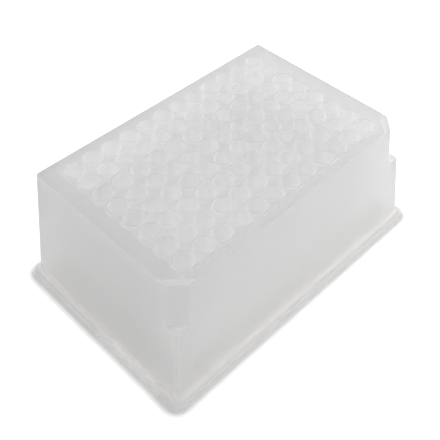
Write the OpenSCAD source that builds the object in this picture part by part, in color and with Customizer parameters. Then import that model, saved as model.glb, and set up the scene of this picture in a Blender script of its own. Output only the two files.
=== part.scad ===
// Deep-well microplate with round wells: one polypropylene moulding.
// Tapered, round-bottomed wells, joined side by side, open in a raised pad and hang from a
// thin deck inside an open skirt. It stands on a base flange, and the two corners at one long
// side are cut at 45 degrees down to a ledge, so that the plate is only put down one way.
// Millimetres. +X runs along the long side, +Y along the short side, +Z up. The origin
// lies on the table, under the middle of the flange. The cut corners are on the -Y side.

/* [Outside] */
// Length over the base flange
plate_l = 127.76; // [126:0.01:160]
// Width over the base flange
plate_w = 85.48; // [84.5:0.01:120]
// Height from the table to the well mouths
plate_h = 44; // [36:0.5:60]

/* [Base flange] */
// Height of the flange's upright edge
flange_t = 1.9; // [1.6:0.1:4]
// How far the flange stands out from the walls
flange_out = 2.5; // [2:0.05:3]
// Corner radius of the flange
flange_r = 3.18; // [2:0.01:6]
// Chamfer along the flange's upper edge
flange_ease = 0.35; // [0.1:0.05:0.5]
// Cove between the flange and the walls
cove_r = 1.5; // [0.5:0.1:1.8]

/* [Walls] */
// Thickness of the skirt walls
wall_t = 1.3; // [1:0.05:1.6]
// Radius of the upright corners
corner_r = 1; // [0.5:0.1:2]
// Thickness of the deck around the wells
deck_t = 1.5; // [1:0.1:2.5]

/* [Cut corners] */
// Leg of each 45 degree cut, along either wall
key_cut = 5.9; // [2:0.1:7.1]
// How far the cuts reach down from the deck
key_drop = 16.4; // [8:0.1:22]

/* [Wells] */
// Distance between well centres
pitch = 9; // [8:0.1:12]
// Narrowest wall between two wells at the rims
web_t = 0.8; // [0.6:0.05:1.2]
// How much a well's radius shrinks on its way down
well_taper = 0.25; // [0.1:0.05:0.4]
// Thickness of the outermost wells' walls at the rims
shell_t = 0.8; // [0.7:0.05:1.2]
// Chamfer around the mouth of every well
mouth_ease = 0.2; // [0.1:0.05:0.25]
// Gap between the well tips and the table
tip_gap = 2.4; // [2:0.1:6]
// How far the pad with the well mouths stands above the deck
pad_rise = 0.4; // [0.2:0.05:0.8]
// How far that pad reaches past the outermost wells' walls
pad_lip = 0.15; // [0.1:0.05:0.5]
// Corner radius of the pad
pad_r = 1; // [0.5:0.1:3]
// Least deck between the outermost well cells and the body's edge
border = 3.5; // [3:0.1:4]

/* [Stacking foot] */
// Clearance around the top of the plate below
stack_gap = 0.4; // [0.2:0.05:0.6]
// Depth of the recess that drops over it
stack_h = 1.2; // [0.8:0.1:1.5]

/* [Short-side details] */
// Length of the finger gap under the flange
gap_l = 33; // [10:1:40]
// Height of the finger gap
gap_h = 0.9; // [0.5:0.1:1.1]
// Length of the groove in the flange's cove
groove_l = 22; // [8:1:36]
// Width of the groove
groove_w = 0.7; // [0.4:0.1:1]

/* [Hidden] */
$fn = 64;
e = 1;
// Body inside the flange, and the levels of its parts
body_l = plate_l - 2 * flange_out;
body_w = plate_w - 2 * flange_out;
deck_z = plate_h - pad_rise;
key_z = deck_z - key_drop;
cove = min(cove_r, flange_out - 0.5);
// Wells that fit: 12 by 8 on the standard footprint
columns = floor((body_l - 2 * border) / pitch);
rows = floor((body_w - 2 * border) / pitch);
well_r = (pitch - web_t) / 2;
foot_r = well_r - well_taper;
tube_r = well_r + shell_t;
// Level of the centre of the round bottoms
bowl_z = tip_gap + tube_r;
slope = well_taper / (plate_h - bowl_z);

// Centre of cell number i of n, along its own axis
function cell(i, n) = (i - (n - 1) / 2) * pitch;

// Rectangle with rounded corners, about its centre
module rounded_rect(l, w, r) {
    square([l - 2 * r, w], center = true);
    square([l, w - 2 * r], center = true);
    for (x = [-1, 1], y = [-1, 1])
        translate([x * (l / 2 - r), y * (w / 2 - r)])
            circle(r);
}

// Outline of the walls above the ledges, set in by a wall's thickness or by nothing
module keyed_outline(inset) {
    l = body_l / 2;
    w = body_w / 2;
    d = l + w - key_cut - inset * sqrt(2);
    difference() {
        rounded_rect(2 * (l - inset), 2 * (w - inset), max(corner_r - inset, 0.4));
        for (m = [0, 1])
            mirror([m, 0])
                polygon([[d - w - e, -w - e], [l + e, -w - e], [l + e, l + e - d]]);
    }
}

// Section of the cove: its corner lies where wall and flange meet
module cove_section() {
    difference() {
        translate([-0.3, -0.3])
            square(cove + 0.3);
        translate([cove, cove])
            circle(cove);
    }
}

// Carries child 0, a section whose origin lies on the outline, round a rounded rectangle
module around(l, w, r) {
    for (a = [0, 180])
        rotate([0, 0, a]) {
            translate([l / 2, w / 2 - r, 0])
                rotate([90, 0, 0])
                    linear_extrude(w - 2 * r)
                        children(0);
            translate([-l / 2 + r, w / 2, 0])
                rotate([90, 0, 90])
                    linear_extrude(l - 2 * r)
                        children(0);
        }
    for (x = [0, 1], y = [0, 1])
        mirror([x, 0, 0])
            mirror([0, y, 0])
                translate([l / 2 - r, w / 2 - r, 0])
                    rotate_extrude(angle = 90)
                        translate([r, 0])
                            children(0);
}

// Flange with its cove against the walls and its chamfered upper edge
module flange() {
    difference() {
        linear_extrude(flange_t)
            rounded_rect(plate_l, plate_w, flange_r);
        translate([0, 0, flange_t])
            around(plate_l, plate_w, flange_r)
                polygon([[-flange_ease, 0], [0, -flange_ease], [e, -flange_ease], [e, e], [-flange_ease, e]]);
    }
    translate([0, 0, flange_t])
        around(body_l, body_w, corner_r)
            cove_section();
}

// Flange, walls, ledges and deck as one block
module outside() {
    flange();
    linear_extrude(key_z)
        rounded_rect(body_l, body_w, corner_r);
    linear_extrude(deck_z)
        keyed_outline(0);
}

// Room inside the skirt, with the recess that drops over the plate below
module skirt_room() {
    translate([0, 0, -e]) {
        linear_extrude(key_z - wall_t + e)
            rounded_rect(body_l - 2 * wall_t, body_w - 2 * wall_t, max(corner_r - wall_t, 0.4));
        linear_extrude(deck_z - deck_t + e)
            keyed_outline(wall_t);
        linear_extrude(stack_h + e)
            rounded_rect(body_l + 2 * stack_gap, body_w + 2 * stack_gap, corner_r + stack_gap);
    }
}

// Quarter disc below its centre: the round bottom of a shaft in section
module bowl(r) {
    intersection() {
        circle(r);
        translate([0, -2 * r])
            square(2 * r);
    }
}

// Puts child 0, a section on the shafts' axis, round the axis of every cell
module in_every_cell() {
    for (i = [0 : columns - 1], j = [0 : rows - 1])
        translate([cell(i, columns), cell(j, rows), bowl_z])
            rotate_extrude()
                children(0);
}

// Raised pad that the wells open in, straight-edged along the outermost wells' walls
module pad() {
    reach = tube_r + pad_lip;
    root = deck_t / 2;
    translate([0, 0, deck_z - root])
        linear_extrude(root + pad_rise)
            rounded_rect(
                2 * (cell(columns - 1, columns) + reach),
                2 * (cell(rows - 1, rows) + reach),
                pad_r
            );
}

// Outsides of all the wells, run together where they touch
module tubes() {
    in_every_cell()
        union() {
            square([tube_r, plate_h - bowl_z]);
            bowl(tube_r);
        }
}

// All the wells as solids to be taken out, chamfered at their mouths
module wells() {
    mouth = plate_h - bowl_z;
    in_every_cell()
        union() {
            polygon([
                [0, 0],
                [foot_r, 0],
                [well_r - mouth_ease * slope, mouth - mouth_ease],
                [well_r + mouth_ease, mouth],
                [well_r + mouth_ease, mouth + e],
                [0, mouth + e]
            ]);
            bowl(foot_r);
        }
}

// Low gap under one short side of the flange, for lifting the plate off a stack
module finger_gap() {
    translate([-plate_l / 2 - e, -gap_l, -e])
        cube([e + flange_out + wall_t, gap_l + 0.5, gap_h + e]);
}

// Groove along the cove above that gap
module cove_groove() {
    translate([-body_l / 2 - 1.3, -gap_l / 2 - 2 - groove_l / 2, flange_t - 0.4])
        cube([groove_w, groove_l, cove + 1]);
}

module well_plate() {
    color([0.89, 0.9, 0.9])
        difference() {
            union() {
                difference() {
                    outside();
                    skirt_room();
                }
                tubes();
                pad();
            }
            wells();
            finger_gap();
            cove_groove();
        }
}

well_plate();
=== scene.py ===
"""A deep-well plate in natural polypropylene, alone on a white table under soft studio light.

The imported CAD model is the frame: it gives the plate's place, its size and its mesh. This script gives it
the finish of a thin, milky moulding, and adds the table, the lights and the camera.
"""

import logging
import math
from dataclasses import dataclass, field
from enum import Enum

import bpy
import numpy as np
from mathutils import Matrix, Vector


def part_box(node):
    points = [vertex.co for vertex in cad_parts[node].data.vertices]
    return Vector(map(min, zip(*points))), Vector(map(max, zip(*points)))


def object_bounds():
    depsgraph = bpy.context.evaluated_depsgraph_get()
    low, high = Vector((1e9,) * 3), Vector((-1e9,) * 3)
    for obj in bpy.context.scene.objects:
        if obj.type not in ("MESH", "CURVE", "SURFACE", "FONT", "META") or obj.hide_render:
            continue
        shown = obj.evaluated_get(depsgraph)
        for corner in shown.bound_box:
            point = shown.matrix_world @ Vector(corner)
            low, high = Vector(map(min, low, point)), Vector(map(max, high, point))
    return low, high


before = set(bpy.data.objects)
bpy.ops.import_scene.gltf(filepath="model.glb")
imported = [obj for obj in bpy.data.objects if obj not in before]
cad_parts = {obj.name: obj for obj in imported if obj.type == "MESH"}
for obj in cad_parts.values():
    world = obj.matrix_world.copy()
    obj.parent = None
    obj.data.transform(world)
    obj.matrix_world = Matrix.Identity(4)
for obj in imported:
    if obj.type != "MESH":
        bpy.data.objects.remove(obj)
CAD_BOX = [list(corner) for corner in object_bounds()]

LOG = logging.getLogger("well_plate")
MM = 0.001
# Bounces are counted in whole numbers, so a test against one stands half a step below it
HALF_STEP = 0.5


def srgb(text: str) -> tuple[float, float, float, float]:
    """Turns a colour such as "#D8DADB" to linear red, green, blue and an alpha of 1.

    Each channel c over 0.04045 becomes ((c + 0.055) / 1.055) to the power 2.4, and one below it
    c / 12.92.

    Args:
        text: The colour as six hexadecimal digits after a hash sign.

    Returns:
        The four numbers that a colour socket takes.
    """
    channels = np.array([int(text[i : i + 2], 16) for i in (1, 3, 5)]) / 255.0
    linear = np.where(channels > 0.04045, ((channels + 0.055) / 1.055) ** 2.4, channels / 12.92)
    return (*map(float, linear), 1.0)


def add_node(
    tree: bpy.types.NodeTree,
    kind: str,
    settings: dict[str, object] | None = None,
    **sockets: object,
) -> bpy.types.Node:
    """Adds one node to a tree, with its settings, its values and its links.

    Args:
        tree: The tree that the node joins.
        kind: The node's type, without the word ShaderNode in front.
        settings: The node's own properties, such as its operation or blend type.
        **sockets: What each input takes, named as the socket is with _ for a space, or in0, in1 and
            so on for its place. An output socket is linked, and anything else is the input's value.

    Returns:
        The new node.
    """
    node = tree.nodes.new("ShaderNode" + kind)
    for name, value in (settings or {}).items():
        setattr(node, name, value)
    for name, value in sockets.items():
        place = name.removeprefix("in")
        socket = node.inputs[int(place)] if place.isdigit() else node.inputs[name.replace("_", " ")]
        if isinstance(value, bpy.types.NodeSocket):
            tree.links.new(value, socket)
        else:
            socket.default_value = value
    return node


def blank_material(name: str) -> tuple[bpy.types.Material, bpy.types.NodeTree, bpy.types.Node]:
    """Makes a material with nothing in its tree but the output.

    Args:
        name: What the real material is called.

    Returns:
        The material, its node tree and its output node.
    """
    material = bpy.data.materials.new(name)
    material.use_nodes = True
    tree = material.node_tree
    tree.nodes.clear()
    return material, tree, tree.nodes.new("ShaderNodeOutputMaterial")


class Axis(Enum):
    """Which component of a point a node reads."""

    X = "X"
    Y = "Y"
    Z = "Z"


@dataclass(frozen=True)
class PlateForm:
    """What the finish needs to know of the plate's form, in metres.

    The wells' tubes lie within half_length and half_width of the middle and reach up to top. The two cut
    corners are the planes where |x| - y equals cut_sum, and |x| + |y| is corner_sum where two walls meet.
    """

    half_length: float
    half_width: float
    top: float
    cut_sum: float
    corner_sum: float


@dataclass(frozen=True)
class NaturalPolypropylene:
    """Natural polypropylene, injection moulded with walls about a millimetre thick.

    The eye sees a milky, colourless plastic: light comes through it, thin walls show what stands behind
    them as a soft ghost, and edges seen on end look closer and greyer. Its skin is satin.

    The shares run from 0 to 1. through is how much of what a wall takes in comes out on its far side, and
    clear_face_on and clear_edge_on are how much of it is seen through without any milk. late and carried
    are light that the material gives off, in place of scattering that isn't followed. Their values, and
    those of the thick places, were set by comparing grey levels, and not measured on plastic.
    """

    name: str = "natural_polypropylene_moulded"
    skin: str = "#FDFDFD"
    # Painted shade: a touch greyer colour for the plastic down inside the wells; also the colour of the
    # late light's glow.
    well_shade_and_glow_tint: str = "#FCFCFC"
    thick_tint: str = "#FCFBFA"
    roughness: float = 0.42
    ior: float = 1.49
    through: float = 0.62
    thick_through: float = 0.45
    thick_clear: float = 0.3
    carried: float = 0.05
    clear_face_on: float = 0.60
    clear_edge_on: float = 0.45
    see_through: int = 4
    followed: int = 4
    late: float = 0.56
    face_reach: float = 2.2 * MM
    face_blur: float = 1.0 * MM
    corner_reach: float = 2.2 * MM
    corner_core: float = 0.6 * MM
    corner_share: float = 0.4
    flange_edge: tuple[float, float] = (1.6 * MM, 2.8 * MM)
    foot: tuple[float, float] = (2.0 * MM, 6.0 * MM)
    level_facing: tuple[float, float] = (0.8, 0.95)
    # How the painted shade inside the wells fades in from the block's sides and down from the top.
    well_blur: float = 8.0 * MM
    pad_blur: float = 1.5 * MM
    gloss: float = 0.35
    gloss_roughness: float = 0.18
    grain_size: float = 0.35 * MM
    grain_height: float = 0.05 * MM
    grain_strength: float = 0.12
    cloud_size: float = 16.0 * MM
    cloud_range: tuple[float, float] = (0.3, 0.7)
    cloud_darkest: float = 0.985
    edge_radius: float = 0.35 * MM

    def material(self, form: PlateForm) -> bpy.types.Material:
        """Builds the material.

        Args:
            form: The form of the plate that gets it.

        Returns:
            The finished material.
        """
        material, tree, output = blank_material(self.name)
        point = add_node(tree, "TexCoord").outputs["Object"]
        thick, ends = self.thick_places(tree, point, form)
        colour = self.tinted_skin(tree, point, form, thick)
        normal = self.moulded_skin(tree, point)
        solid = add_node(
            tree,
            "BsdfPrincipled",
            Base_Color=colour,
            Roughness=self.roughness,
            IOR=self.ior,
            Normal=normal,
            Coat_Weight=self.gloss,
            Coat_Roughness=self.gloss_roughness,
            Coat_Normal=add_node(tree, "Bevel", {"samples": 4}, Radius=self.edge_radius).outputs[0],
        )
        behind = add_node(tree, "BsdfTranslucent", Color=colour, Normal=normal)
        through = add_node(
            tree, "MapRange", Value=thick, To_Min=self.through, To_Max=self.thick_through
        ).outputs[0]
        milky = add_node(tree, "MixShader", in0=through, in1=solid.outputs[0], in2=behind.outputs[0])
        clear = add_node(tree, "BsdfTransparent")
        facing = add_node(tree, "LayerWeight", Blend=0.5, Normal=normal).outputs["Facing"]
        closed = add_node(
            tree,
            "MapRange",
            Value=facing,
            To_Min=1 - self.clear_face_on,
            To_Max=1 - self.clear_edge_on,
        )
        layers = add_node(tree, "LightPath").outputs["Transparent Depth"]
        deep = add_node(
            tree,
            "Math",
            {"operation": "GREATER_THAN"},
            in0=layers,
            in1=self.see_through - HALF_STEP,
        )
        closed = add_node(
            tree, "Math", {"operation": "MAXIMUM"}, in0=closed.outputs[0], in1=deep.outputs[0]
        )
        milkier = add_node(
            tree, "Math", {"operation": "MULTIPLY"}, in0=thick, in1=1 - self.thick_clear
        )
        closed = add_node(
            tree, "Math", {"operation": "MAXIMUM"}, in0=closed.outputs[0], in1=milkier.outputs[0]
        )
        wall = add_node(
            tree,
            "MixShader",
            in0=closed.outputs[0],
            in1=clear.outputs[0],
            in2=milky.outputs[0],
        )
        tree.links.new(self.with_late_light(tree, wall.outputs[0], ends), output.inputs["Surface"])
        return material

    def painted_well_shade(
        self, tree: bpy.types.NodeTree, point: bpy.types.NodeSocket, form: PlateForm
    ) -> bpy.types.NodeSocket:
        """Gives the painted shade's share: 1 well inside the block of tubes, falling smoothly to 0 at its
        sides and at its top.

        Along X and Y, the share is smoothstep of (half size - distance from the middle) / well_blur, and
        along Z it is smoothstep of (top - z) / pad_blur. The three shares are multiplied together.

        Args:
            tree: The material's node tree.
            point: Object coordinates.
            form: The plate's form.

        Returns:
            The share, from 0 to 1.
        """
        parts = add_node(tree, "SeparateXYZ", in0=point)
        share = None
        for axis, half in ((Axis.X, form.half_length), (Axis.Y, form.half_width)):
            away = add_node(tree, "Math", {"operation": "ABSOLUTE"}, in0=parts.outputs[axis.value])
            rise = add_node(
                tree,
                "MapRange",
                {"interpolation_type": "SMOOTHSTEP"},
                Value=away.outputs[0],
                From_Min=half,
                From_Max=half - self.well_blur,
            )
            share = (
                rise.outputs[0]
                if share is None
                else add_node(
                    tree, "Math", {"operation": "MULTIPLY"}, in0=share, in1=rise.outputs[0]
                ).outputs[0]
            )
        below = add_node(
            tree,
            "MapRange",
            {"interpolation_type": "SMOOTHSTEP"},
            Value=parts.outputs[Axis.Z.value],
            From_Min=form.top,
            From_Max=form.top - self.pad_blur,
        )
        return add_node(
            tree, "Math", {"operation": "MULTIPLY"}, in0=share, in1=below.outputs[0]
        ).outputs[0]

    def with_late_light(
        self, tree: bpy.types.NodeTree, wall: bpy.types.NodeSocket, ends: bpy.types.NodeSocket
    ) -> bpy.types.NodeSocket:
        """Adds the light that isn't followed: what is scattered later, and what the walls carry.

        Light in a real plate passes from wall to wall dozens of times before it comes out, and only the
        first few are followed. At the last of them, the walls around shine about as brightly as the rest.
        Some also runs along inside the walls, and comes out where they end.

        Args:
            tree: The material's node tree.
            wall: The shader without that light.
            ends: The share of the places where walls end.

        Returns:
            The shader with it.
        """
        path = add_node(tree, "LightPath")
        last = add_node(
            tree,
            "Math",
            {"operation": "GREATER_THAN"},
            in0=path.outputs["Diffuse Depth"],
            in1=self.followed - HALF_STEP,
        )
        late = add_node(tree, "Math", {"operation": "MULTIPLY"}, in0=last.outputs[0], in1=self.late)
        both = add_node(
            tree,
            "Math",
            {"operation": "MULTIPLY_ADD"},
            in0=ends,
            in1=self.carried,
            in2=late.outputs[0],
        )
        light = add_node(tree, "Emission", Color=srgb(self.well_shade_and_glow_tint), Strength=both.outputs[0])
        return add_node(tree, "AddShader", in0=wall, in1=light.outputs[0]).outputs[0]

    def thick_places(
        self, tree: bpy.types.NodeTree, point: bpy.types.NodeSocket, form: PlateForm
    ) -> tuple[bpy.types.NodeSocket, bpy.types.NodeSocket]:
        """Finds where there is much plastic behind the skin: the foot, and the ends of walls seen on.

        The foot's share rises smoothly as z falls over the cove and the flange. The ends are the
        greatest of three shares. One is the ledges and the strips of deck that the cut walls meet: they
        lie less than face_reach in from a cut's plane, where the distance in is
        (cut_sum + y - |x|) / sqrt 2. One is the upright corners, where |x| + |y| nears corner_sum, and
        one is the flange, by its height.

        Args:
            tree: The material's node tree.
            point: Object coordinates.
            form: The plate's form.

        Returns:
            The share of the foot and the ends together and that of the ends alone, from 0 at the thin
            walls to 1.
        """
        x, y, z = add_node(tree, "SeparateXYZ", in0=point).outputs
        skin_normal = add_node(tree, "TexCoord").outputs["Normal"]
        up = add_node(tree, "SeparateXYZ", in0=skin_normal).outputs["Z"]
        along = add_node(tree, "Math", {"operation": "ABSOLUTE"}, in0=x).outputs[0]
        across = add_node(tree, "Math", {"operation": "ABSOLUTE"}, in0=y).outputs[0]
        smooth = {"interpolation_type": "SMOOTHSTEP"}

        past = add_node(tree, "Math", {"operation": "SUBTRACT"}, in0=y, in1=along).outputs[0]
        inward = add_node(
            tree,
            "Math",
            {"operation": "MULTIPLY_ADD"},
            in0=past,
            in1=1 / math.sqrt(2),
            in2=form.cut_sum / math.sqrt(2),
        ).outputs[0]
        near = add_node(
            tree,
            "MapRange",
            smooth,
            Value=inward,
            From_Min=self.face_reach + self.face_blur,
            From_Max=self.face_reach,
        ).outputs[0]
        steep, flat = self.level_facing
        level = add_node(tree, "MapRange", smooth, Value=up, From_Min=steep, From_Max=flat).outputs[0]
        faces = add_node(tree, "Math", {"operation": "MULTIPLY"}, in0=near, in1=level).outputs[0]

        out = add_node(tree, "Math", {"operation": "ADD"}, in0=along, in1=across).outputs[0]
        corners = add_node(
            tree,
            "MapRange",
            smooth,
            Value=out,
            From_Min=form.corner_sum - self.corner_reach,
            From_Max=form.corner_sum - self.corner_core,
            To_Max=self.corner_share,
        ).outputs[0]
        edge_low, edge_high = self.flange_edge
        edge = add_node(
            tree, "MapRange", smooth, Value=z, From_Min=edge_high, From_Max=edge_low
        ).outputs[0]
        ends = add_node(tree, "Math", {"operation": "MAXIMUM"}, in0=faces, in1=corners).outputs[0]
        ends = add_node(tree, "Math", {"operation": "MAXIMUM"}, in0=ends, in1=edge).outputs[0]

        foot_low, foot_high = self.foot
        foot = add_node(
            tree, "MapRange", smooth, Value=z, From_Min=foot_high, From_Max=foot_low
        ).outputs[0]
        thick = add_node(tree, "Math", {"operation": "MAXIMUM"}, in0=foot, in1=ends).outputs[0]
        return thick, ends

    def tinted_skin(
        self,
        tree: bpy.types.NodeTree,
        point: bpy.types.NodeSocket,
        form: PlateForm,
        thick: bpy.types.NodeSocket,
    ) -> bpy.types.NodeSocket:
        """Colours the plastic: clouded, with painted shade that makes it a touch greyer down inside the
        wells, and warmer where it is thick.

        Args:
            tree: The material's node tree.
            point: Object coordinates.
            form: The plate's form.
            thick: The share of the thick places.

        Returns:
            The colour.
        """
        # Painted shade: the colour turns a touch greyer down inside the wells.
        deep = self.painted_well_shade(tree, point, form)
        well_shaded_colour = add_node(
            tree,
            "Mix",
            {"data_type": "RGBA"},
            in0=deep,
            in6=srgb(self.skin),
            in7=srgb(self.well_shade_and_glow_tint),
        )
        warm = add_node(
            tree,
            "Mix",
            {"data_type": "RGBA"},
            in0=thick,
            in6=well_shaded_colour.outputs[2],
            in7=srgb(self.thick_tint),
        )
        clouds = add_node(
            tree,
            "TexNoise",
            Vector=point,
            Scale=1 / self.cloud_size,
            Detail=3.0,
            Roughness=0.55,
            Distortion=0.6,
        )
        cloudy, clear = self.cloud_range
        shade = add_node(
            tree,
            "MapRange",
            Value=clouds.outputs[0],
            From_Min=cloudy,
            From_Max=clear,
            To_Min=self.cloud_darkest,
            To_Max=1.0,
        )
        return add_node(
            tree,
            "Mix",
            {"data_type": "RGBA", "blend_type": "MULTIPLY"},
            in0=1.0,
            in6=warm.outputs[2],
            in7=shade.outputs[0],
        ).outputs[2]

    def moulded_skin(
        self, tree: bpy.types.NodeTree, point: bpy.types.NodeSocket
    ) -> bpy.types.NodeSocket:
        """Gives the skin the fine, even grain of a spark-eroded mould.

        Args:
            tree: The material's node tree.
            point: Object coordinates.

        Returns:
            The surface normal.
        """
        grain = add_node(
            tree,
            "TexNoise",
            Vector=point,
            Scale=1 / self.grain_size,
            Detail=2.0,
            Roughness=0.6,
        )
        return add_node(
            tree,
            "Bump",
            Strength=self.grain_strength,
            Distance=self.grain_height,
            Height=grain.outputs[0],
        ).outputs[0]


def sharp_rays(tree: bpy.types.NodeTree, path: bpy.types.Node) -> bpy.types.NodeSocket:
    """Gives 1 for a ray that sees an image, straight from the camera or by a mirror or clear glass.

    Args:
        tree: The node tree.
        path: Its Light Path node.

    Returns:
        That flag, which is 0 for rays that only gather light.
    """
    seen = path.outputs["Is Camera Ray"]
    for other in ("Is Glossy Ray", "Is Transmission Ray"):
        seen = add_node(
            tree, "Math", {"operation": "MAXIMUM"}, in0=seen, in1=path.outputs[other]
        ).outputs[0]
    sharp = add_node(
        tree, "Math", {"operation": "SUBTRACT"}, in0=1.0, in1=path.outputs["Is Diffuse Ray"]
    )
    return add_node(tree, "Math", {"operation": "MULTIPLY"}, in0=seen, in1=sharp.outputs[0]).outputs[0]


@dataclass(frozen=True)
class WhiteTableTop:
    """Matt white laminate, pressed smooth.

    The eye sees plain white with no shine. Lit as brightly as the plate needs it would be a light grey,
    so what the camera sees of it is lifted to white, and the plate's shadow stays below that. Close
    under the plate's edge a painted shadow darkens it, down to painted_shadow_darkest: the share of open
    sky within painted_shadow_reach, to the power painted_shadow_depth.
    """

    name: str = "white_laminate_matt"
    top: str = "#DCDCDC"
    lift: float = 0.57
    # Painted shadow close under the plate's edge: how far it reaches, how steeply it falls, its darkest
    # share and its samples.
    painted_shadow_reach: float = 3.3 * MM
    painted_shadow_depth: float = 3.0
    painted_shadow_darkest: float = 0.50
    painted_shadow_samples: int = 8
    speckle_size: float = 1.2 * MM
    speckle_height: float = 0.02 * MM
    speckle_strength: float = 0.05

    def material(self) -> bpy.types.Material:
        """Builds the material."""
        material, tree, output = blank_material(self.name)
        point = add_node(tree, "TexCoord").outputs["Object"]
        speckle = add_node(tree, "TexNoise", Vector=point, Scale=1 / self.speckle_size, Detail=1.0)
        relief = add_node(
            tree,
            "Bump",
            Strength=self.speckle_strength,
            Distance=self.speckle_height,
            Height=speckle.outputs[0],
        ).outputs[0]
        lit = add_node(tree, "BsdfDiffuse", Color=srgb(self.top), Normal=relief)
        # Painted shadow: ambient occlusion darkens both the lit table and its lift close under the plate's
        # edge.
        open_share = add_node(
            tree, "AmbientOcclusion", {"samples": self.painted_shadow_samples}, Distance=self.painted_shadow_reach
        )
        falling = add_node(
            tree,
            "Math",
            {"operation": "POWER"},
            in0=open_share.outputs["AO"],
            in1=self.painted_shadow_depth,
        ).outputs[0]
        painted_edge_shadow = add_node(
            tree, "Math", {"operation": "MAXIMUM"}, in0=falling, in1=self.painted_shadow_darkest
        ).outputs[0]
        bright = add_node(tree, "BsdfDiffuse", Color=painted_edge_shadow, Normal=relief)
        lift = add_node(tree, "Emission", Color=painted_edge_shadow, Strength=self.lift)
        white = add_node(tree, "AddShader", in0=bright.outputs[0], in1=lift.outputs[0])
        path = add_node(tree, "LightPath")
        bare = add_node(
            tree,
            "Math",
            {"operation": "LESS_THAN"},
            in0=path.outputs["Transparent Depth"],
            in1=1 - HALF_STEP,
        )
        seen = add_node(
            tree, "Math", {"operation": "MULTIPLY"}, in0=sharp_rays(tree, path), in1=bare.outputs[0]
        )
        surface = add_node(
            tree, "MixShader", in0=seen.outputs[0], in1=lit.outputs[0], in2=white.outputs[0]
        )
        tree.links.new(surface.outputs[0], output.inputs["Surface"])
        return material


@dataclass
class DeepWellPlate:
    """The plate: one moulding, whose CAD node has its true shape and gets its finish here."""

    node: str = "well_plate"
    finish: NaturalPolypropylene = field(default_factory=NaturalPolypropylene)
    border: float = 7.0 * MM
    flange: float = 2.5 * MM
    cut: float = 5.9 * MM

    def form(self) -> PlateForm:
        """Works out the form from the plate's box.

        The tubes end at the border. The cuts take a corner of the walls, which stand in by the flange.
        """
        low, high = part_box(self.node)
        half_length = (high.x - low.x) / 2
        half_width = (high.y - low.y) / 2
        return PlateForm(
            half_length=half_length - self.border,
            half_width=half_width - self.border,
            top=high.z,
            cut_sum=half_length + half_width - 2 * self.flange - self.cut,
            corner_sum=half_length + half_width - 2 * self.flange,
        )

    def dress(self) -> bpy.types.Object:
        """Gives the CAD node its finish on the object's own slots, and returns its object."""
        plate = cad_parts[self.node]
        material = self.finish.material(self.form())
        for slot in plate.material_slots:
            slot.link = "OBJECT"
            slot.material = material
        return plate


@dataclass
class Table:
    """The table top: a flat sheet under the plate that reaches past every view."""

    reach: float = 6.0
    finish: WhiteTableTop = field(default_factory=WhiteTableTop)

    def sheet(self, across: int = 9) -> tuple[np.ndarray, np.ndarray]:
        """Works out a flat grid at height 0: x and y each run evenly from -reach to reach.

        Args:
            across: Points along each side.

        Returns:
            The points, and the four corners of each face, anticlockwise from above.
        """
        line = np.linspace(-self.reach, self.reach, across)
        x, y = np.meshgrid(line, line, indexing="ij")
        points = np.stack([x, y, np.zeros_like(x)], axis=-1).reshape(-1, 3)
        index = np.arange(across * across).reshape(across, across)
        faces = np.stack([index[:-1, :-1], index[1:, :-1], index[1:, 1:], index[:-1, 1:]], axis=-1)
        return points, faces.reshape(-1, 4)

    def build(self) -> bpy.types.Object:
        """Makes the sheet, puts it in the scene and returns it."""
        points, faces = self.sheet()
        mesh = bpy.data.meshes.new("table_top")
        mesh.from_pydata(points.tolist(), [], faces.tolist())
        mesh.materials.append(self.finish.material())
        top = bpy.data.objects.new("table_top", mesh)
        bpy.context.scene.collection.objects.link(top)
        return top


@dataclass(frozen=True)
class Softbox:
    """A square softbox that faces the plate. Its place and size are in metres, its power in watts."""

    name: str
    place: tuple[float, float, float]
    size: float
    power: float

    def hang(self) -> None:
        """Hangs the softbox in the scene."""
        lamp = bpy.data.lights.new(self.name, "AREA")
        lamp.energy = self.power
        lamp.size = self.size
        holder = bpy.data.objects.new(self.name, lamp)
        holder.location = self.place
        aim = Vector((0.0, 0.0, CAD_BOX[1][2] / 2)) - holder.location
        holder.rotation_euler = aim.to_track_quat("-Z", "Y").to_euler()
        bpy.context.scene.collection.objects.link(holder)


@dataclass(frozen=True)
class SoftStudio:
    """Soft light from all round, with a key softbox, one high behind and three low ones."""

    surround: float = 0.43
    softboxes: tuple[Softbox, ...] = (
        Softbox("key_softbox", (0.30, -0.28, 0.16), 0.25, 0.69),
        Softbox("back_softbox", (0.20, 0.18, 0.3), 0.2, 0.23),
        Softbox("rear_softbox", (-0.1, 0.42, 0.03), 0.09, 0.52),
        Softbox("end_softbox", (0.42, 0.05, 0.05), 0.09, 0.15),
        Softbox("side_softbox", (-0.42, 0.16, 0.05), 0.09, 0.08),
    )

    def build(self) -> None:
        """Sets the world and hangs the softboxes."""
        self.world()
        for softbox in self.softboxes:
            softbox.hang()

    def world(self) -> None:
        """Lights the plate evenly and shows plain white behind it."""
        world = bpy.data.worlds.new("white_studio")
        bpy.context.scene.world = world
        world.use_nodes = True
        tree = world.node_tree
        tree.nodes.clear()
        light = add_node(tree, "Background", Color=srgb("#FFFFFF"), Strength=self.surround)
        white = add_node(tree, "Background", Color=srgb("#FFFFFF"), Strength=1.0)
        seen = sharp_rays(tree, add_node(tree, "LightPath"))
        mix = add_node(tree, "MixShader", in0=seen, in1=light.outputs[0], in2=white.outputs[0])
        output = tree.nodes.new("ShaderNodeOutputWorld")
        tree.links.new(mix.outputs[0], output.inputs["Surface"])


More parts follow.
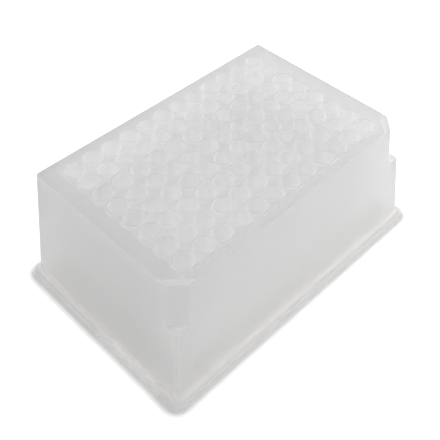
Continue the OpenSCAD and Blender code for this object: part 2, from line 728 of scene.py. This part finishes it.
@dataclass
class ViewCamera:
    """A view camera whose film stands steeper than its line of sight, as with a raised front.

    The film's two axes are level across and tilted by film_pitch, and the line of sight runs from the
    camera to what it is aimed at. A lens shift of about -1.25 would give the same picture. Here the skew
    is in the stand that the camera hangs from instead, and the shift stays 0, so a view that takes the
    camera off its stand is plain.
    """

    place: tuple[float, float, float] = (-0.24304, -0.25104, 0.30992)
    aim: tuple[float, float, float] = (0.00717, 0.01001, 0.0)
    film_yaw: float = 45.207
    film_pitch: float = 11.785
    lens: float = 93.2
    sensor: float = 36.0
    nearest: float = 0.01
    furthest: float = 20.0

    def stand_matrix(self) -> Matrix:
        """Works out the stand's columns: film across, film up, away from the aim, and the place."""
        yaw, pitch = math.radians(self.film_yaw), math.radians(self.film_pitch)
        level = math.cos(pitch)
        ahead = Vector((math.sin(yaw) * level, math.cos(yaw) * level, -math.sin(pitch)))
        across = Vector((math.cos(yaw), -math.sin(yaw), 0.0))
        up = across.cross(ahead)
        back = (Vector(self.place) - Vector(self.aim)).normalized()
        columns = [across.to_4d(), up.to_4d(), back.to_4d(), Vector(self.place).to_4d()]
        for column in columns[:3]:
            column.w = 0.0
        return Matrix(columns).transposed()

    def build(self) -> bpy.types.Object:
        """Makes the camera on its stand, gives it to the scene and returns it."""
        data = bpy.data.cameras.new("view_camera")
        data.lens = self.lens
        data.sensor_width = self.sensor
        data.clip_start = self.nearest
        data.clip_end = self.furthest
        camera = bpy.data.objects.new("view_camera", data)
        stand = bpy.data.objects.new("camera_stand", None)
        for item in (stand, camera):
            bpy.context.scene.collection.objects.link(item)
        camera.parent = stand
        camera.matrix_parent_inverse = self.stand_matrix()
        bpy.context.scene.camera = camera
        return camera


def main() -> None:
    """Dresses the plate, then sets the table, the lights and the camera."""
    logging.basicConfig(level=logging.INFO, format="%(name)s: %(message)s")
    bpy.context.scene.view_settings.view_transform = "Standard"
    plate = DeepWellPlate().dress()
    LOG.info("dressed %s, %d faces", plate.name, len(plate.data.polygons))
    top = Table().build()
    LOG.info("set %s", top.name)
    SoftStudio().build()
    camera = ViewCamera().build()
    LOG.info("placed %s", camera.name)


if __name__ == "__main__":
    main()
